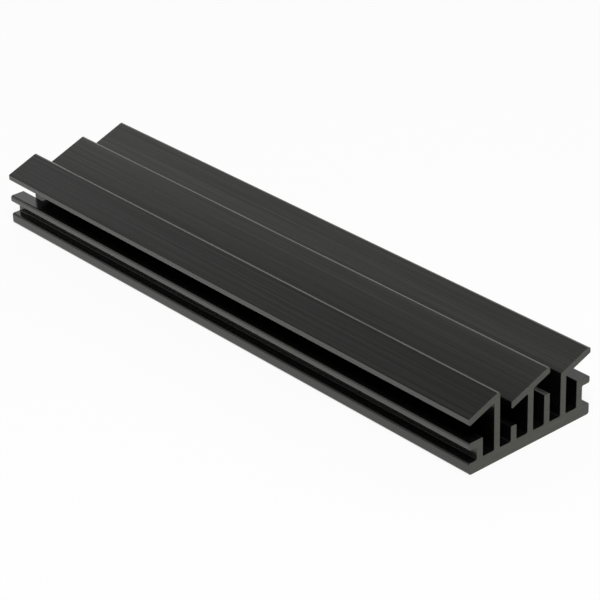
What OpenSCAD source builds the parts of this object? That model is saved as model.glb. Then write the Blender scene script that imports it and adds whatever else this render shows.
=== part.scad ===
// Low heat sink for a 22 mm wide solid state drive module: one length of extruded aluminium bar.
// X runs along the bar, Y across it with the low edges of the louvres at the front (-Y), and Z up.
// The origin is on the underside, at the middle of the bar.

/* [Bar] */
// Length sawn from the bar
sink_l = 100; // [40:1:110]
// Width over the base plate, the flanges and the outer louvres
sink_w = 22; // [20:0.5:28]
// Height of the louvres' upper edges over the underside
sink_h = 10.1; // [9.7:0.05:14]

/* [Base plate] */
// Thickness of the plate under the channels
base_t = 1.85; // [1.2:0.05:2.2]
// Thickness of the two lips outside the side walls
lip_t = 1.75; // [1.2:0.05:2]
// Radius on the upper corners of the lips
lip_r = 0.3; // [0.1:0.05:0.5]
// Radius on the lower corners of the lips, at the edges of the sole
sole_r = 0.4; // [0.1:0.05:0.5]

/* [Side walls] */
// Thickness of each side wall
wall_t = 1.05; // [0.8:0.05:1.5]
// Depth of the groove outside each side wall
groove_d = 1.4; // [0.8:0.1:1.8]
// Thickness of the flange on top of each side wall
flange_t = 1.1; // [0.9:0.05:1.4]
// Height of the front flange's upper face
front_flange_h = 4.7; // [4:0.1:5.4]
// Height of the rear flange's upper face
rear_flange_h = 5.85; // [4.5:0.05:7]
// Radius on the corners of the flange tips
flange_r = 0.35; // [0.1:0.05:0.4]

/* [Webs and fins] */
// Thickness of the webs that carry the louvres, and of the fins between them
rib_t = 1; // [0.8:0.05:1.4]
// Height of the short fin's top over the underside
short_fin_h = 4.1; // [3:0.1:5]
// Height of the tall fin's top over the underside
tall_fin_h = 6.2; // [4:0.05:7]
// Radius on the top corners of the fins
fin_r = 0.15; // [0.05:0.05:0.35]
// Radius in the corners of the channels and the grooves
root_r = 0.2; // [0.05:0.05:0.35]

/* [Louvres] */
// Slope of the louvre blades
blade_angle = 20.5; // [10:0.5:25]
// Thickness of each blade, square to its faces
blade_t = 0.95; // [0.85:0.05:1.4]
// Width of the slot between one louvre and the next, seen from above
slot_w = 2.05; // [1:0.05:2.5]
// Radius on the upper edge of each louvre
crest_r = 0.35; // [0.1:0.05:0.35]
// Radius on the other corners of each louvre
blade_r = 0.2; // [0.05:0.05:0.35]

/* [Hidden] */
$fn = 48;
// Depth that ribs, walls and fillets reach into what carries them
seat = 0.3;
// Channels between the side walls, all of one width, with a rib between each two
channel_count = 6;
wall_y = sink_w / 2 - groove_d;
rib_pitch = (2 * (wall_y - wall_t) + rib_t) / channel_count;
web_y = 2 * rib_pitch;
// Reach of the middle louvre to either side of its web
middle_y = web_y - rib_t / 2 - slot_w;
blade_rise = blade_t / cos(blade_angle);
// Height at which a blade's upper face would meet its upright end, over the rounded edge there
crest_h = sink_h + crest_r * (tan(blade_angle) + 1 / cos(blade_angle) - 1);

// Height of a blade's middle plane at y, where crest_y is the place of its upper edge
function blade_z(y, crest_y) = crest_h - blade_rise / 2 - (crest_y - y) * tan(blade_angle);

// Unit vector from one point to another
function aim(from, to) = (to - from) / norm(to - from);

// Half of the angle between the two sides that meet at a corner
function half_angle(prev, corner, next) = acos(aim(corner, prev) * aim(corner, next)) / 2;

// Point at which an arc of radius r, set in a corner, leaves for the next corner
function tangent(prev, corner, next, r) =
    corner + aim(corner, next) * r / tan(half_angle(prev, corner, next));

// Centre of that arc
function arc_centre(prev, corner, next, r) =
    corner + aim([0, 0], aim(corner, prev) + aim(corner, next)) * r / sin(half_angle(prev, corner, next));

// Convex outline, its corners anticlockwise and with the radii in the same order
module rounded_outline(corners, radii) {
    n = len(corners);
    polygon([for (i = [0 : n - 1]) let (prev = corners[(i + n - 1) % n], next = corners[(i + 1) % n])
        each [tangent(next, corners[i], prev, radii[i]), tangent(prev, corners[i], next, radii[i])]]);
    for (i = [0 : n - 1])
        translate(arc_centre(corners[(i + n - 1) % n], corners[i], corners[(i + 1) % n], radii[i]))
            circle(r = radii[i]);
}

// Upright rectangle between two opposite corners, with the radii of its two lower and two upper corners
module rounded_bar(low, high, low_r, high_r) {
    rounded_outline([low, [high.x, low.y], high, [low.x, high.y]], [low_r, low_r, high_r, high_r]);
}

// Fillet in an inner corner, on the side that the signs of turn give
module fillet(corner, turn) {
    translate(corner)
        difference() {
            translate([turn.x > 0 ? -seat : -root_r, turn.y > 0 ? -seat : -root_r])
                square(root_r + seat);
            translate(turn * root_r)
                circle(r = root_r);
        }
}

// Fillets on both sides of a rib where it stands on the base plate
module root_fillets(y) {
    fillet([y - rib_t / 2, base_t], [-1, 1]);
    fillet([y + rib_t / 2, base_t], [1, 1]);
}

// Base plate between the side walls
module base_section() {
    translate([-wall_y, 0])
        square([2 * wall_y, base_t]);
}

// Rear side wall, with a lip at its foot and a flange on top that close a groove between them
module wall_section(flange_h) {
    inner_y = wall_y - wall_t;
    rounded_bar([inner_y, 0], [sink_w / 2, lip_t], sole_r, lip_r);
    translate([inner_y, seat])
        square([wall_t, flange_h - flange_t / 2 - seat]);
    rounded_outline(
        [[inner_y, flange_h - flange_t], [sink_w / 2, flange_h - flange_t],
            [sink_w / 2, flange_h], [inner_y, flange_h]],
        [fin_r, flange_r, flange_r, fin_r]);
    fillet([inner_y, base_t], [-1, 1]);
    fillet([wall_y, lip_t], [1, 1]);
    fillet([wall_y, flange_h - flange_t], [1, -1]);
}

// Fin that stands free between two webs
module fin_section(y, top) {
    rounded_bar([y - rib_t / 2, base_t - seat], [y + rib_t / 2, top], fin_r, fin_r);
    root_fillets(y);
}

// Web that runs up into the louvre whose upper edge is at crest_y
module web_section(y, crest_y) {
    left = y - rib_t / 2;
    right = y + rib_t / 2;
    polygon([[left, base_t - seat], [right, base_t - seat],
        [right, blade_z(right, crest_y)], [left, blade_z(left, crest_y)]]);
    root_fillets(y);
}

// Louvre blade that rises from its low edge to its crest, with both ends upright
module blade_section(low_y, crest_y) {
    half = blade_rise / 2;
    low_z = blade_z(low_y, crest_y);
    crest_z = blade_z(crest_y, crest_y);
    rounded_outline(
        [[low_y, low_z - half], [crest_y, crest_z - half], [crest_y, crest_z + half], [low_y, low_z + half]],
        [blade_r, blade_r, crest_r, blade_r]);
}

// Front louvre, whose crest is flush with its web
module front_louvre() {
    crest_y = -web_y + rib_t / 2;
    web_section(-web_y, crest_y);
    blade_section(-sink_w / 2, crest_y);
}

// Middle louvre, which its web carries halfway
module middle_louvre() {
    web_section(0, middle_y);
    blade_section(-middle_y, middle_y);
}

// Rear louvre, whose low edge is flush with its web
module rear_louvre() {
    web_section(web_y, sink_w / 2);
    blade_section(web_y - rib_t / 2, sink_w / 2);
}

// Section of the bar, as its die gives it
module sink_section() {
    base_section();
    mirror([1, 0])
        wall_section(front_flange_h);
    wall_section(rear_flange_h);
    fin_section(-rib_pitch, short_fin_h);
    fin_section(rib_pitch, tall_fin_h);
    front_louvre();
    middle_louvre();
    rear_louvre();
}

// The heat sink, one solid sawn square from the bar
module heat_sink() {
    color("#3a3b3c")
        rotate([90, 0, 90])
            translate([0, 0, -sink_l / 2])
                linear_extrude(sink_l)
                    sink_section();
}

heat_sink();
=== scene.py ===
import math

import bpy
import numpy as np
from bpy.props import FloatProperty, FloatVectorProperty, IntProperty, PointerProperty
from mathutils import Matrix, Vector


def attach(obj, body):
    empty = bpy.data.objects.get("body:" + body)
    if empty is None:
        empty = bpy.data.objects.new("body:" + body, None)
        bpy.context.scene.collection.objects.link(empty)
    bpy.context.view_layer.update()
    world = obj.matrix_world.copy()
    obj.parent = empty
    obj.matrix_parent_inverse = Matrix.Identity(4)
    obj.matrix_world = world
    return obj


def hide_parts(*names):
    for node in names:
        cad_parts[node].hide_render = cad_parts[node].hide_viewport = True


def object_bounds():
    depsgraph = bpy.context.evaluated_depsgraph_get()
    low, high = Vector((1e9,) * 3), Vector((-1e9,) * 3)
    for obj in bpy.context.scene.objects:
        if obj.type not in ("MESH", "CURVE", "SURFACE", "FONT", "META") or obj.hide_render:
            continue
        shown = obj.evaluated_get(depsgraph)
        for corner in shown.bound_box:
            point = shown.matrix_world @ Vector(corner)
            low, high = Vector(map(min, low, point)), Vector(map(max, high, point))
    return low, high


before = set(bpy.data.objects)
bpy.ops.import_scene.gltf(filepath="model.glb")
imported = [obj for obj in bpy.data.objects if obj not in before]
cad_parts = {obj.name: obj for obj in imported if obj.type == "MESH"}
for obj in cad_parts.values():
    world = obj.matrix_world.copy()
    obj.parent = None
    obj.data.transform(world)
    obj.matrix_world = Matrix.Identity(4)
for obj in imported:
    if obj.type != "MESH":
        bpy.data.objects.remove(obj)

bl_info = {
    "name": "Louvred drive heat sink",
    "version": (1, 0, 0),
    "blender": (4, 5, 0),
    "location": "View3D > Sidebar > Heat sink",
    "description": "Makes a black anodised heat sink from its extruded section, and a studio round it",
    "category": "Add Mesh",
}

MM = 0.001
CAD_LOW, CAD_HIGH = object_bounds()
# Channels between the side walls, all of one width, with a web or a fin between each two
CHANNELS = 6
# Faces across the quarter round that breaks the sawn edges
BREAK_STEPS = 3
# Places of the extruded finish, the sawn finish and the darker colour that paints the shade in the channels,
# among the bar's materials
EXTRUDED, SAWN, PAINTED_SHADE = range(3)
# Upright share of a normal from which its face counts as level
LEVEL = 0.9
# The same inside the two side grooves, whose fillets count as level too
LEVEL_IN_GROOVE = 0.3
# Way in metres to a corner that is too far off to matter
FAR = 1.0
# Values that nearly all of one noise lies between
NOISE_LOW, NOISE_HIGH = 0.3, 0.7
# Sums of the fine lines and their share of broad bands that give the plain and the pale tone
STREAK_LOW, STREAK_HIGH = 0.5, 1
# Nearest and farthest that the camera sees, in metres
CLIP_NEAR, CLIP_FAR = 0.01, 20


def linear(hex_colour):
    """Turns an sRGB hex colour into linear red, green and blue."""
    srgb = np.array([int(hex_colour[i:i + 2], 16) for i in (1, 3, 5)]) / 255
    return tuple(np.where(srgb <= 0.04045, srgb / 12.92, ((srgb + 0.055) / 1.055) ** 2.4).tolist())


def length(name, description, millimetres):
    """Property for a length, with its default given in millimetres."""
    return FloatProperty(name=name, description=description, default=millimetres * MM,
                         unit="LENGTH", precision=5)


def angle(name, description, degrees):
    """Property for an angle, with its default given in degrees."""
    return FloatProperty(name=name, description=description, default=math.radians(degrees), subtype="ANGLE")


def colour(name, description, hex_colour):
    """Property for a colour, with its default given as sRGB hex."""
    return FloatVectorProperty(name=name, description=description, default=linear(hex_colour),
                               subtype="COLOR", size=3, min=0, max=1)


def share(name, description, default):
    """Property for a value between nothing and all."""
    return FloatProperty(name=name, description=description, default=default, min=0, max=1, subtype="FACTOR")


class SectionSizes(bpy.types.PropertyGroup):
    """Sizes of the extruded section; its overall width and height come from the frame."""

    base: length("Base plate", "Thickness of the plate under the channels", 1.85)
    lip: length("Lip", "Thickness of the lips outside the side walls", 1.75)
    lip_radius: length("Lip radius", "Radius on the upper corners of the lips", 0.3)
    sole_radius: length("Sole radius", "Radius on the lower corners of the lips", 0.4)
    wall: length("Side wall", "Thickness of each side wall", 1.05)
    groove: length("Groove depth", "Depth of the groove outside each side wall", 1.4)
    flange: length("Flange", "Thickness of the flange on top of each side wall", 1.1)
    front_flange: length("Front flange height", "Height of the front flange's upper face", 4.7)
    rear_flange: length("Rear flange height", "Height of the rear flange's upper face", 5.85)
    flange_radius: length("Flange radius", "Radius on the corners of the flange tips", 0.35)
    rib: length("Web and fin", "Thickness of the webs and the fins", 1.0)
    short_fin: length("Short fin height", "Height of the short fin's top", 4.1)
    tall_fin: length("Tall fin height", "Height of the tall fin's top", 6.2)
    fin_radius: length("Fin radius", "Radius on the top corners of the fins", 0.15)
    root_radius: length("Root radius", "Radius in the corners of the channels and grooves", 0.2)
    blade_angle: angle("Blade slope", "Slope of the louvre blades", 20.5)
    blade: length("Blade", "Thickness of each louvre blade, square to its faces", 0.95)
    slot: length("Slot", "Width of the slot between two louvres, seen from above", 2.05)
    crest_radius: length("Crest radius", "Radius on the upper edge of each louvre", 0.35)
    blade_radius: length("Blade radius", "Radius on the other corners of each louvre", 0.2)
    web_radius: length("Web radius", "Radius where a web runs into its louvre", 0.2)
    edge_break: length("Edge break", "Radius to which the sawn edges are broken", 0.06)


class FinishLook(bpy.types.PropertyGroup):
    """Colours, grain and gloss of the black anodised finish, with its painted shade, painted highlight and
    painted sheen.
    """

    extruded: colour("Extruded faces", "Dyed oxide film on the extruded faces", "#1d1e1b")
    extruded_pale: colour("Die lines", "The same film along the crests of the die lines", "#2d2e2a")
    # Painted shade: this darker colour stands for the shade in the channels and on the level faces of the
    # lips and flanges
    channel: colour("Channels", "The film in the channels, which is smooth and deep", "#090909")
    sawn: colour("Sawn faces", "The film over the sawn end faces, greyer for their fine scratches", "#38382f")
    sawn_pale: colour("Saw scratches", "The same film along the saw's scratches", "#44443d")
    # Painted highlight: this paler colour along the louvres' crests stands for the light that the crests
    # reflect
    painted_highlight: colour("Rubbed crests", "Thin pale film along the louvres' crests", "#4d4d4a")
    crest_highlight_width: length("Wear width", "How far the rubbed film reaches from a crest", 0.03)
    # Painted sheen: this paler colour, with the reach and the lip share set below it, stands for the light
    # that the outermost faces of the long sides reflect
    side_sheen: colour("Rubbed sides", "Thin pale film on the outermost faces of the two long sides", "#42423e")
    rim_from: length("Sides from", "Distance from the bar's middle at which the rubbed sides begin", 10.95)
    rim_to: length("Sides to", "Distance from the bar's middle at which they are at their palest", 11)
    rim_low: length("Sides low", "How much nearer to the middle that is on the flanges and the lips", 0.1)
    lip_rim: share("Rubbed lips", "Share of the rubbed sides' paleness that the lips show", 0.15)
    lip_up_to: length("Lips up to", "Height up to which the sides have the lips' paleness", 1.9)
    sides_full: length("Sides in full", "Height from which the rubbed sides have their full paleness", 3)
    line_spacing: length("Line spacing", "Spacing of the die's fine lines", 0.5)
    line_run: length("Line run", "Length over which a fine line changes", 60)
    line_relief: length("Line relief", "Depth of the fine lines on the louvres", 0.06)
    band_spacing: length("Band spacing", "Spacing of the broad bands among the fine lines", 3)
    band_run: length("Band run", "Length over which a broad band changes", 90)
    band_share: share("Band share", "Weight of the broad bands beside the fine lines", 0.5)
    # These values make the colour darker across the bar towards the front louvre
    deep_up_to: length("Deep up to", "Place across the bar up to which the dye is at its deepest", -6)
    pale_from: length("Pale from", "Place across the bar from which the dye has its plain depth", 6)
    deep_over: length("Deep over", "Height under which the faces have plain dye and no relief", 6)
    deepest: share("Deepest", "Share of the plain colour that is left where the dye is deepest", 0.25)
    gloss: share("Gloss", "Least roughness of the extruded faces", 0.18)
    channel_gloss: share("Channel gloss", "Least roughness inside the channels", 0.1)
    gloss_span: share("Gloss span", "How much rougher both are where the die's lines are deepest", 0.06)
    channel_spacing: length("Channel line spacing", "Spacing of the fine lines in the channels", 0.4)
    channel_run: length("Channel line run", "Length over which a line in the channels changes", 80)
    saw_spacing: length("Scratch spacing", "Spacing of the saw's scratches", 0.25)
    saw_run: length("Scratch run", "Length over which a scratch changes", 6)
    saw_angle: angle("Scratch angle", "Angle between the scratches and the underside", 12)
    saw_relief: length("Scratch relief", "Depth of the saw's scratches", 0.01)
    saw_strength: share("Scratch strength", "How far the scratches turn the light", 0.2)
    sawn_gloss: share("Sawn gloss", "Roughness of the sawn faces", 0.5)


class StudioLook(bpy.types.PropertyGroup):
    """Camera and light of the studio."""

    azimuth: angle("Azimuth", "Turn of the camera round the object", 49.93)
    elevation: angle("Elevation", "Height of the camera over the horizon", 28.28)
    roll: angle("Roll", "Tilt of the camera about its line of sight", -1.92)
    distance: length("Distance", "Distance of the camera from the middle of the underside", 339.77)
    aside: length("Aside", "How far the camera stands to its own right", 3.169)
    above: length("Above", "How far the camera stands up in its own picture plane", 1.507)
    lens: FloatProperty(name="Lens", description="Focal length", default=142.72, unit="CAMERA")
    paper: colour("Paper", "White background paper", "#f4f4f4")
    paper_white: share("Paper white", "How far the paper is plain white to the camera and in gloss", 0.85)
    floor_size: length("Floor size", "Length and width of the paper floor", 8000)
    white_up_to: share("White up to", "Height on the unit sphere up to which the room is white", 0.42)
    dim_from: share("Dim from", "Height on the unit sphere from which the room is dim overhead", 0.8)
    overhead: share("Overhead", "Level of the room overhead", 0.35)
    front: share("Front", "Level of the room on the camera's side, beside the level behind the object", 0.12)
    dim_behind: FloatProperty(name="Dim behind", default=0.05, min=-1, max=1,
                              description="Where the room reaches its front level, from -1 to 1")
    white_ahead: FloatProperty(name="White ahead", default=0.5, min=-1, max=1,
                               description="Where the room reaches its full level, from -1 to 1")
    top_power: FloatProperty(name="Top light", description="Power of the soft light overhead",
                             default=10, min=0, unit="POWER")
    top_place: FloatVectorProperty(name="Top light's place", description="Place of the soft light overhead",
                                   default=(0.35, -0.25, 1), subtype="TRANSLATION")
    top_size: length("Top light's size", "Length and width of the soft light overhead", 500)


class HeatSinkSettings(bpy.types.PropertyGroup):
    """Everything that the panel shows."""

    section: PointerProperty(name="Section", description="Sizes of the extruded section", type=SectionSizes)
    finish: PointerProperty(name="Finish", description="Look of the black anodised film", type=FinishLook)
    studio: PointerProperty(name="Studio", description="Camera, light and paper", type=StudioLook)
    arc_steps: IntProperty(name="Arc steps", description="Faces round each corner of the section",
                           default=8, min=2)


def add_node(tree, kind, inputs=None, **settings):
    """Adds one node with its settings; an input given a socket is linked, and any other is set."""
    made = tree.nodes.new(kind)
    for name, value in settings.items():
        setattr(made, name, value)
    for name, value in (inputs or {}).items():
        if isinstance(value, bpy.types.NodeSocket):
            tree.links.new(value, made.inputs[name])
        else:
            made.inputs[name].default_value = value
    return made


def new_material(name):
    """Empty node material, and its output node."""
    made = bpy.data.materials.new(name)
    made.use_nodes = True
    made.node_tree.nodes.clear()
    return made, add_node(made.node_tree, "ShaderNodeOutputMaterial")


def section_corners(s):
    """Corners of the section, anticlockwise seen with +Y to the right, as rows of y, z, radius and a flag for
    the painted crest highlight.

    Each feature lists its own corners from right to left, and the front wall is the rear wall's
    list mirrored and reversed.
    """
    half_w = CAD_HIGH.y
    wall_y = half_w - s.groove
    pitch = (2 * (wall_y - s.wall) + s.rib) / CHANNELS
    web_y = 2 * pitch
    half_rib = s.rib / 2
    middle_y = web_y - half_rib - s.slot
    slope = math.tan(s.blade_angle)
    rise = s.blade / math.cos(s.blade_angle)
    crest_z = CAD_HIGH.z + s.crest_radius * (slope + 1 / math.cos(s.blade_angle) - 1)

    def wall(flange_z):
        return [(half_w, 0, s.sole_radius, 0), (half_w, s.lip, s.lip_radius, 0),
                (wall_y, s.lip, s.root_radius, 0), (wall_y, flange_z - s.flange, s.root_radius, 0),
                (half_w, flange_z - s.flange, s.flange_radius, 0), (half_w, flange_z, s.flange_radius, 0),
                (wall_y - s.wall, flange_z, s.fin_radius, 0), (wall_y - s.wall, s.base, s.root_radius, 0)]

    def root(y):
        return (y, s.base, s.root_radius, 0)

    def fin(y, top):
        right, left = y + half_rib, y - half_rib
        return [root(right), (right, top, s.fin_radius, 0), (left, top, s.fin_radius, 0), root(left)]

    def crest(y):
        return (y, crest_z, s.crest_radius, 1)

    def upper(y, crest_y):
        return (y, crest_z - (crest_y - y) * slope, s.blade_radius, 0)

    def under(y, crest_y, radius):
        return (y, crest_z - (crest_y - y) * slope - rise, radius, 0)

    rear_left, rear_right = web_y - half_rib, web_y + half_rib
    rear = [root(rear_right), under(rear_right, half_w, s.web_radius), under(half_w, half_w, s.blade_radius),
            crest(half_w), upper(rear_left, half_w), root(rear_left)]
    middle = [root(half_rib), under(half_rib, middle_y, s.web_radius),
              under(middle_y, middle_y, s.blade_radius), crest(middle_y), upper(-middle_y, middle_y),
              under(-middle_y, middle_y, s.blade_radius), under(-half_rib, middle_y, s.web_radius),
              root(-half_rib)]
    front_left, front_right = -rear_right, -rear_left
    front = [root(front_right), crest(front_right), upper(-half_w, front_right),
             under(-half_w, front_right, s.blade_radius), under(front_left, front_right, s.web_radius),
             root(front_left)]
    front_wall = [(-y, z, radius, wear) for y, z, radius, wear in reversed(wall(s.front_flange))]
    return np.array(wall(s.rear_flange) + rear + fin(pitch, s.tall_fin) + middle + fin(-pitch, s.short_fin)
                    + front + front_wall)


def rounded(corners, steps):
    """Outline through rounded corners, with its outward normals.

    In a corner between unit directions a and b, with half the angle between them h, the arc's centre
    lies along a + b at radius / sin h. The normal turns evenly from the first side's to the second's,
    and a point is the centre plus the radius times the normal, or minus it in an inner corner.
    """
    point, radius = corners[:, :2], corners[:, 2]
    back = np.roll(point, 1, axis=0) - point
    ahead = np.roll(point, -1, axis=0) - point
    back /= np.linalg.norm(back, axis=1, keepdims=True)
    ahead /= np.linalg.norm(ahead, axis=1, keepdims=True)
    half = np.arccos(np.clip((back * ahead).sum(1), -1, 1)) / 2
    middle = back + ahead
    middle /= np.linalg.norm(middle, axis=1, keepdims=True)
    centre = point + middle * (radius / np.sin(half))[:, None]
    first = np.arctan2(back[:, 0], -back[:, 1])
    turn = (np.arctan2(-ahead[:, 0], ahead[:, 1]) - first + np.pi) % (2 * np.pi) - np.pi
    heading = first[:, None] + turn[:, None] * np.linspace(0, 1, steps + 1)
    normal = np.stack([np.cos(heading), np.sin(heading)], axis=2)
    outline = centre[:, None] + normal * (np.sign(turn) * radius)[:, None, None]
    return outline.reshape(-1, 2), normal.reshape(-1, 2)


def in_painted_shade(outline, normal, s):
    """True for the outline's points that are given the darker colour which paints the shade where little
    light reaches.

    They are the channels up to the undersides of the blades, the short fin in them, and the level faces
    of the lips and flanges. The blades' upper faces and the tall fin's top are not among them.
    """
    y, z = outline.T
    inner = np.abs(y) < CAD_HIGH.y - s.groove - s.wall + s.fin_radius
    low = z < s.short_fin + s.fin_radius
    channel = inner & (z > s.base / 2) & ((normal[:, 1] < LEVEL) | low)
    in_groove = np.abs(y) < CAD_HIGH.y - s.groove + s.root_radius
    beside = ~inner & (z > s.lip / 2) & (z < s.rear_flange + s.flange_radius)
    ledge = beside & (np.abs(normal[:, 1]) > np.where(in_groove, LEVEL_IN_GROOVE, LEVEL))
    return channel | ledge


def way_to_highlighted_crest(corners, edges, steps):
    """Ways from each face round the section to the crest corners with the painted highlight on its two sides,
    as four columns.

    The first two columns are the way back to the corner behind from the face's first and last edge, and
    the other two the way ahead to the next corner. They are nothing on a highlighted corner's own arc, and
    FAR where the corner on that side has no painted highlight. The edges are the lengths of the faces.
    """
    painted_highlight = np.repeat(corners[:, 3] > 0, steps + 1)
    flat = np.arange(len(edges)) % (steps + 1) == steps
    nothing = np.zeros(len(edges))
    span = np.where(flat, edges, 0)
    back = np.where(painted_highlight[:, None], np.stack([nothing, span], axis=1), FAR)
    ahead = np.where(np.roll(painted_highlight, -1)[:, None], np.stack([span, nothing], axis=1), FAR)
    return np.concatenate([back, ahead], axis=1)


def carried_bar(s, arc_steps):
    """The section carried along X, its last rings drawn in by a quarter round that breaks the sawn edges.

    A ring at angle t of the quarter round lies at half the length minus edge_break * (1 - sin t), is
    drawn in along the section's normals by edge_break * (1 - cos t), and its normals turn from the
    section's to the end's. Between the two ends the section runs straight.
    """
    corners = section_corners(s)
    outline, normal = rounded(corners, arc_steps)
    count = len(outline)
    turn = np.linspace(0, np.pi / 2, BREAK_STEPS + 1)
    end_x = CAD_HIGH.x - s.edge_break * (1 - np.sin(turn))
    along = np.concatenate([-end_x[::-1], end_x])
    lean = np.concatenate([turn[::-1], turn])
    side = np.repeat([-1, 1], len(turn))
    drawn = outline[None] - normal[None] * (s.edge_break * (1 - np.cos(lean)))[:, None, None]
    points = np.concatenate([np.broadcast_to(along[:, None, None], (*drawn.shape[:2], 1)), drawn], axis=2)
    normals = np.concatenate([
        np.broadcast_to((side * np.sin(lean))[:, None, None], (*drawn.shape[:2], 1)),
        normal[None] * np.cos(lean)[:, None, None]], axis=2)

    ring = np.arange(len(along) - 1)[:, None] * count
    here = np.arange(count)[None]
    ahead = (here + 1) % count
    quads = np.stack([ring + here, ring + here + count, ring + ahead + count, ring + ahead], axis=2)
    last = (len(along) - 1) * count
    faces = quads.reshape(-1, 4)[:, ::-1].tolist()
    faces += [list(range(count - 1, -1, -1)), list(range(last, last + count))]

    mesh = bpy.data.meshes.new("heat_sink_bar")
    mesh.from_pydata(points.reshape(-1, 3).tolist(), [], faces)
    mesh.polygons.foreach_set("use_smooth", np.ones(len(faces), bool))

    on_edge = np.repeat(np.abs(np.diff(along)) < s.edge_break, count)
    # Faces that get the darker colour which paints the shade in the channels and on the level faces of the
    # lips and flanges
    deep = np.tile(in_painted_shade(outline, normal, s), len(along) - 1)
    zone = np.where(on_edge, SAWN, np.where(deep, PAINTED_SHADE, EXTRUDED))
    mesh.polygons.foreach_set("material_index", np.concatenate([zone, [SAWN, SAWN]]).astype(np.int32))

    edges = np.linalg.norm(np.roll(outline, -1, axis=0) - outline, axis=1)
    around = np.concatenate([[0], np.cumsum(edges)])
    set_uv_maps(mesh, points.reshape(-1, 3), around, way_to_highlighted_crest(corners, edges, arc_steps))
    mesh.normals_split_custom_set_from_vertices(normals.reshape(-1, 3).tolist())
    return mesh


def set_uv_maps(mesh, points, around, ways):
    """Two UV maps of the bar, both in metres.

    "bar" is the way round the section and the way along the bar, or y and z on the end faces.
    "wear" is the way from each place back and ahead to the nearest crest corner with the painted highlight.
    """
    count = len(ways)
    vertex = np.empty(len(mesh.loops), np.int32)
    mesh.loops.foreach_get("vertex_index", vertex)
    totals = np.empty(len(mesh.polygons), np.int32)
    mesh.polygons.foreach_get("loop_total", totals)
    face = np.repeat(np.arange(len(totals)), totals)
    on_end = face >= len(totals) - 2
    place, strip = vertex % count, face % count

    on_seam = (strip == count - 1) & (place == 0)
    bar = np.stack([around[np.where(on_seam, count, place)], points[vertex, 0]], axis=1)
    bar[on_end] = points[vertex[on_end], 1:]
    wear = np.where((place != strip)[:, None], ways[strip][:, (1, 3)], ways[strip][:, (0, 2)])
    wear[on_end] = FAR
    for name, uv in (("bar", bar), ("wear", wear)):
        mesh.uv_layers.new(name=name).data.foreach_set("uv", uv.astype(np.float32).ravel())


def die_lines(tree, spacing, run):
    """Noise drawn out along the bar on its UV map, by its spacing across the lines and its run along them."""
    place = add_node(tree, "ShaderNodeUVMap", uv_map="bar")
    drawn_out = add_node(tree, "ShaderNodeMapping", {
        "Vector": place.outputs["UV"], "Scale": (1 / spacing, 1 / run, 1)})
    return add_node(tree, "ShaderNodeTexNoise", {
        "Vector": drawn_out.outputs["Vector"], "Scale": 1, "Detail": 3, "Roughness": 0.6},
        noise_dimensions="2D").outputs["Fac"]


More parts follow.
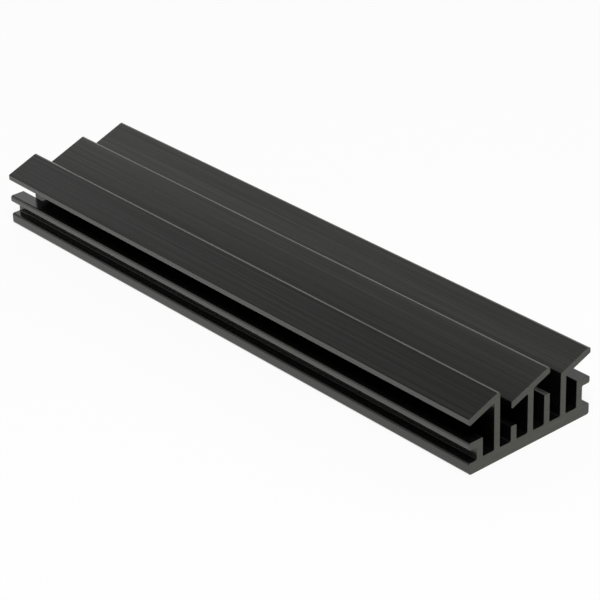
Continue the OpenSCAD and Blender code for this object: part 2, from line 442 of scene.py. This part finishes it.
def extruded_material(look):
    """Black anodised aluminium as the die leaves it.

    The oxide film, coloured by its black dye, is a thin dark dielectric over metal. The die draws fine lines
    along the bar, and the colour grows darker from the rear louvre to the front one. A paler colour along
    the louvres' crests is painted highlight, and a paler colour on the outermost faces of the long sides is
    painted sheen. So the eye sees satin charcoal with faint lengthwise streaks, a painted light line along
    each crest, and painted greyer bands along the sides.
    """
    made, output = new_material("black_anodised_extruded")
    tree = made.node_tree
    # Real die lines are a few hundredths of a millimetre apart and microns deep, too fine to show, so they
    # are drawn coarser and deeper
    fine = die_lines(tree, look.line_spacing, look.line_run)
    broad = die_lines(tree, look.band_spacing, look.band_run)
    blend = add_node(tree, "ShaderNodeMath", {0: broad, 1: look.band_share, 2: fine},
                     operation="MULTIPLY_ADD")
    streak = add_node(tree, "ShaderNodeMapRange", {
        "Value": blend.outputs["Value"], "From Min": STREAK_LOW, "From Max": STREAK_HIGH})
    place = add_node(tree, "ShaderNodeTexCoord")
    axes = add_node(tree, "ShaderNodeSeparateXYZ", {"Vector": place.outputs["Object"]})
    # The colour grows darker across the bar towards the front louvre, except on faces lower than deep_over
    across = add_node(tree, "ShaderNodeMapRange", {
        "Value": axes.outputs["Y"], "From Min": look.deep_up_to, "From Max": look.pale_from,
        "To Min": look.deepest, "To Max": 1}, interpolation_type="SMOOTHSTEP")
    below = add_node(tree, "ShaderNodeMath", {0: axes.outputs["Z"], 1: look.deep_over},
                     operation="LESS_THAN")
    depth = add_node(tree, "ShaderNodeMath", {0: across.outputs["Result"], 1: below.outputs["Value"]},
                     operation="MAXIMUM")
    # The colour pair of a Mix node is its inputs 6 and 7, and the mixed colour its output 2
    tone = add_node(tree, "ShaderNodeMix", {
        0: streak.outputs["Result"], 6: (*look.extruded, 1), 7: (*look.extruded_pale, 1)}, data_type="RGBA")
    graded_tone = add_node(tree, "ShaderNodeMix", {0: 1, 6: tone.outputs[2], 7: depth.outputs["Value"]},
                    data_type="RGBA", blend_type="MULTIPLY")

    # Painted highlight: the arcs of the louvres' crests get a paler colour in place of the light they reflect
    wear = add_node(tree, "ShaderNodeUVMap", uv_map="wear")
    ways = add_node(tree, "ShaderNodeSeparateXYZ", {"Vector": wear.outputs["UV"]})
    nearest = add_node(tree, "ShaderNodeMath", {0: ways.outputs["X"], 1: ways.outputs["Y"]},
                       operation="MINIMUM")
    highlight_painted = add_node(tree, "ShaderNodeMapRange", {
        "Value": nearest.outputs["Value"], "From Min": 0, "From Max": look.crest_highlight_width,
        "To Min": 1, "To Max": 0})
    with_crest_highlight = add_node(tree, "ShaderNodeMix", {
        0: highlight_painted.outputs["Result"], 6: graded_tone.outputs[2], 7: (*look.painted_highlight, 1)}, data_type="RGBA")

    # Painted sheen: paler colour on the outermost faces of the long sides, weaker on the lips
    aside = add_node(tree, "ShaderNodeMath", {0: axes.outputs["Y"]}, operation="ABSOLUTE")
    reach = add_node(tree, "ShaderNodeMath", {
        0: below.outputs["Value"], 1: look.rim_low, 2: aside.outputs["Value"]}, operation="MULTIPLY_ADD")
    outermost = add_node(tree, "ShaderNodeMapRange", {
        "Value": reach.outputs["Value"], "From Min": look.rim_from, "From Max": look.rim_to})
    over_lip = add_node(tree, "ShaderNodeMapRange", {
        "Value": axes.outputs["Z"], "From Min": look.lip_up_to, "From Max": look.sides_full,
        "To Min": look.lip_rim, "To Max": 1})
    paleness = add_node(tree, "ShaderNodeMath", {
        0: outermost.outputs["Result"], 1: over_lip.outputs["Result"]}, operation="MULTIPLY")
    painted_highlight = add_node(tree, "ShaderNodeMix", {
        0: paleness.outputs["Value"], 6: with_crest_highlight.outputs[2], 7: (*look.side_sheen, 1)}, data_type="RGBA")

    gloss = add_node(tree, "ShaderNodeMapRange", {
        "Value": fine, "From Min": NOISE_LOW, "From Max": NOISE_HIGH,
        "To Min": look.gloss, "To Max": look.gloss + look.gloss_span})
    lined = add_node(tree, "ShaderNodeMath", {0: 1, 1: below.outputs["Value"]}, operation="SUBTRACT")
    relief = add_node(tree, "ShaderNodeBump", {
        "Height": fine, "Strength": lined.outputs["Value"], "Distance": look.line_relief})
    film = add_node(tree, "ShaderNodeBsdfPrincipled", {
        "Base Color": painted_highlight.outputs[2], "Roughness": gloss.outputs["Result"],
        "Normal": relief.outputs["Normal"]})
    tree.links.new(film.outputs["BSDF"], output.inputs["Surface"])
    return made


def sawn_material(look):
    """Black anodised aluminium over a sawn face.

    The saw leaves fine scratches under the film, and they scatter more light than the extruded faces
    do, so the eye sees a flat warm grey.
    """
    made, output = new_material("black_anodised_sawn")
    tree = made.node_tree
    place = add_node(tree, "ShaderNodeUVMap", uv_map="bar")
    # Real scratches are a few hundredths of a millimetre apart, too fine to show, so they are drawn coarser
    drawn_out = add_node(tree, "ShaderNodeMapping", {
        "Vector": place.outputs["UV"], "Rotation": (0, 0, look.saw_angle),
        "Scale": (1 / look.saw_run, 1 / look.saw_spacing, 1)})
    scratch = add_node(tree, "ShaderNodeTexNoise", {
        "Vector": drawn_out.outputs["Vector"], "Scale": 1, "Detail": 3}, noise_dimensions="2D")
    level = add_node(tree, "ShaderNodeMapRange", {
        "Value": scratch.outputs["Fac"], "From Min": NOISE_LOW, "From Max": NOISE_HIGH})
    tone = add_node(tree, "ShaderNodeMix", {
        0: level.outputs["Result"], 6: (*look.sawn, 1), 7: (*look.sawn_pale, 1)}, data_type="RGBA")
    relief = add_node(tree, "ShaderNodeBump", {
        "Height": scratch.outputs["Fac"], "Strength": look.saw_strength, "Distance": look.saw_relief})
    film = add_node(tree, "ShaderNodeBsdfPrincipled", {
        "Base Color": tone.outputs[2], "Roughness": look.sawn_gloss, "Normal": relief.outputs["Normal"]})
    tree.links.new(film.outputs["BSDF"], output.inputs["Surface"])
    return made


def painted_shade_material(look):
    """Black anodised aluminium inside the channels.

    The die's tongues leave these faces smooth, so the film has a little gloss. Its colour is a deeper black
    than the extruded faces', which paints the shade that falls in the channels and on the lips and flanges.
    """
    made, output = new_material("black_anodised_painted_shade")
    tree = made.node_tree
    fine = die_lines(tree, look.channel_spacing, look.channel_run)
    gloss = add_node(tree, "ShaderNodeMapRange", {
        "Value": fine, "From Min": NOISE_LOW, "From Max": NOISE_HIGH,
        "To Min": look.channel_gloss, "To Max": look.channel_gloss + look.gloss_span})
    film = add_node(tree, "ShaderNodeBsdfPrincipled", {
        "Base Color": (*look.channel, 1), "Roughness": gloss.outputs["Result"]})
    tree.links.new(film.outputs["BSDF"], output.inputs["Surface"])
    return made


def paper_material(look):
    """Matt white background paper, near white to the camera and in gloss and glass, with a faint shadow."""
    made, output = new_material("white_paper")
    tree = made.node_tree
    paper = add_node(tree, "ShaderNodeBsdfDiffuse", {"Color": (*look.paper, 1)})
    white = add_node(tree, "ShaderNodeEmission", {"Strength": 1})
    rays = add_node(tree, "ShaderNodeLightPath")
    mirrored = add_node(tree, "ShaderNodeMath", {
        0: rays.outputs["Is Camera Ray"], 1: rays.outputs["Is Glossy Ray"]}, operation="MAXIMUM")
    seen = add_node(tree, "ShaderNodeMath", {
        0: mirrored.outputs["Value"], 1: rays.outputs["Is Transmission Ray"]}, operation="MAXIMUM")
    part = add_node(tree, "ShaderNodeMath", {0: seen.outputs["Value"], 1: look.paper_white},
                    operation="MULTIPLY")
    mixed = add_node(tree, "ShaderNodeMixShader", {
        0: part.outputs["Value"], 1: paper.outputs["BSDF"], 2: white.outputs["Emission"]})
    tree.links.new(mixed.outputs["Shader"], output.inputs["Surface"])
    return made


def light_world(look):
    """World that is white low down behind the object, and falls softly dimmer overhead and in front."""
    world = bpy.data.worlds.new("studio_room")
    bpy.context.scene.world = world
    world.use_nodes = True
    tree = world.node_tree
    tree.nodes.clear()
    place = add_node(tree, "ShaderNodeTexCoord")
    axes = add_node(tree, "ShaderNodeSeparateXYZ", {"Vector": place.outputs["Generated"]})
    low = add_node(tree, "ShaderNodeMapRange", {
        "Value": axes.outputs["Z"], "From Min": look.white_up_to, "From Max": look.dim_from,
        "To Min": 1, "To Max": look.overhead}, interpolation_type="SMOOTHSTEP")
    ahead = add_node(tree, "ShaderNodeVectorMath", {
        0: place.outputs["Generated"], 1: (-math.sin(look.azimuth), math.cos(look.azimuth), 0)},
        operation="DOT_PRODUCT")
    behind = add_node(tree, "ShaderNodeMapRange", {
        "Value": ahead.outputs["Value"], "From Min": look.dim_behind, "From Max": look.white_ahead,
        "To Min": look.front, "To Max": 1}, interpolation_type="SMOOTHSTEP")
    level = add_node(tree, "ShaderNodeMath", {0: low.outputs["Result"], 1: behind.outputs["Result"]},
                     operation="MULTIPLY")
    room = add_node(tree, "ShaderNodeBackground", {"Color": (1, 1, 1, 1), "Strength": level.outputs["Value"]})
    add_node(tree, "ShaderNodeOutputWorld", {"Surface": room.outputs["Background"]})


def soft_light(name, place, size, power):
    """Square area light of the given size and power, at a place and turned to face the object."""
    lamp = bpy.data.lights.new(name, "AREA")
    lamp.shape = "SQUARE"
    lamp.size = size
    lamp.energy = power
    holder = bpy.data.objects.new(name, lamp)
    holder.rotation_mode = "QUATERNION"
    holder.location = place
    holder.rotation_quaternion = (-Vector(place)).to_track_quat("-Z", "Y")
    bpy.context.scene.collection.objects.link(holder)


def add_camera(look):
    """Camera that looks the way azimuth, elevation and roll give, with its place set in its own axes."""
    cos, sin = math.cos, math.sin
    azimuth, elevation, roll = look.azimuth, look.elevation, look.roll
    back = Vector((sin(azimuth) * cos(elevation), -cos(azimuth) * cos(elevation), sin(elevation)))
    level = Vector((cos(azimuth), sin(azimuth), 0))
    upright = back.cross(level)
    right = level * cos(roll) + upright * sin(roll)
    up = upright * cos(roll) - level * sin(roll)
    lens = bpy.data.cameras.new("camera")
    lens.lens = look.lens
    lens.clip_start, lens.clip_end = CLIP_NEAR, CLIP_FAR
    camera = bpy.data.objects.new("camera", lens)
    camera.rotation_mode = "QUATERNION"
    camera.location = right * look.aside + up * look.above + back * look.distance
    camera.rotation_quaternion = Matrix((right, up, back)).transposed().to_quaternion()
    bpy.context.scene.collection.objects.link(camera)
    bpy.context.scene.camera = camera


class HEATSINK_OT_bar(bpy.types.Operator):
    """Make the extruded bar with its finish"""

    bl_idname = "heatsink.bar"
    bl_label = "Extruded bar"

    def execute(self, context):
        settings = context.scene.heat_sink
        mesh = carried_bar(settings.section, settings.arc_steps)
        for make_material in (extruded_material, sawn_material, painted_shade_material):
            mesh.materials.append(make_material(settings.finish))
        bar = bpy.data.objects.new("heat_sink_bar", mesh)
        context.scene.collection.objects.link(bar)
        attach(bar, "root")
        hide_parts("heat_sink")
        return {"FINISHED"}


class HEATSINK_OT_stage(bpy.types.Operator):
    """Make the floor, the lights and the camera"""

    bl_idname = "heatsink.stage"
    bl_label = "Studio"

    def execute(self, context):
        look = context.scene.heat_sink.studio
        half = look.floor_size / 2
        mesh = bpy.data.meshes.new("paper_floor")
        mesh.from_pydata([(-half, -half, 0), (half, -half, 0), (half, half, 0), (-half, half, 0)], [],
                         [(0, 1, 2, 3)])
        mesh.materials.append(paper_material(look))
        floor = bpy.data.objects.new("paper_floor", mesh)
        context.scene.collection.objects.link(floor)
        light_world(look)
        soft_light("top_light", look.top_place, look.top_size, look.top_power)
        add_camera(look)
        context.scene.view_settings.view_transform = "Standard"
        return {"FINISHED"}


class HEATSINK_PT_panel(bpy.types.Panel):
    """Panel with one button for each step, and every setting"""

    bl_label = "Heat sink"
    bl_idname = "HEATSINK_PT_panel"
    bl_space_type = "VIEW_3D"
    bl_region_type = "UI"
    bl_category = "Heat sink"

    def draw(self, context):
        settings = context.scene.heat_sink
        for operator in (HEATSINK_OT_bar, HEATSINK_OT_stage):
            self.layout.operator(operator.bl_idname)
        self.layout.prop(settings, "arc_steps")
        for group in (settings.section, settings.finish, settings.studio):
            box = self.layout.box()
            for name in group.bl_rna.properties.keys():
                if name not in {"rna_type", "name"}:
                    box.prop(group, name)


CLASSES = (SectionSizes, FinishLook, StudioLook, HeatSinkSettings, HEATSINK_OT_bar, HEATSINK_OT_stage,
           HEATSINK_PT_panel)


def register():
    """Registers the classes and hangs the settings on the scene."""
    for item in CLASSES:
        bpy.utils.register_class(item)
    bpy.types.Scene.heat_sink = PointerProperty(
        name="Heat sink", description="Settings of the heat sink and its studio", type=HeatSinkSettings)


def unregister():
    """Takes the settings and the classes away again."""
    del bpy.types.Scene.heat_sink
    for item in reversed(CLASSES):
        bpy.utils.unregister_class(item)


def main():
    register()
    bpy.ops.heatsink.bar()
    bpy.ops.heatsink.stage()


if __name__ == "__main__":
    main()
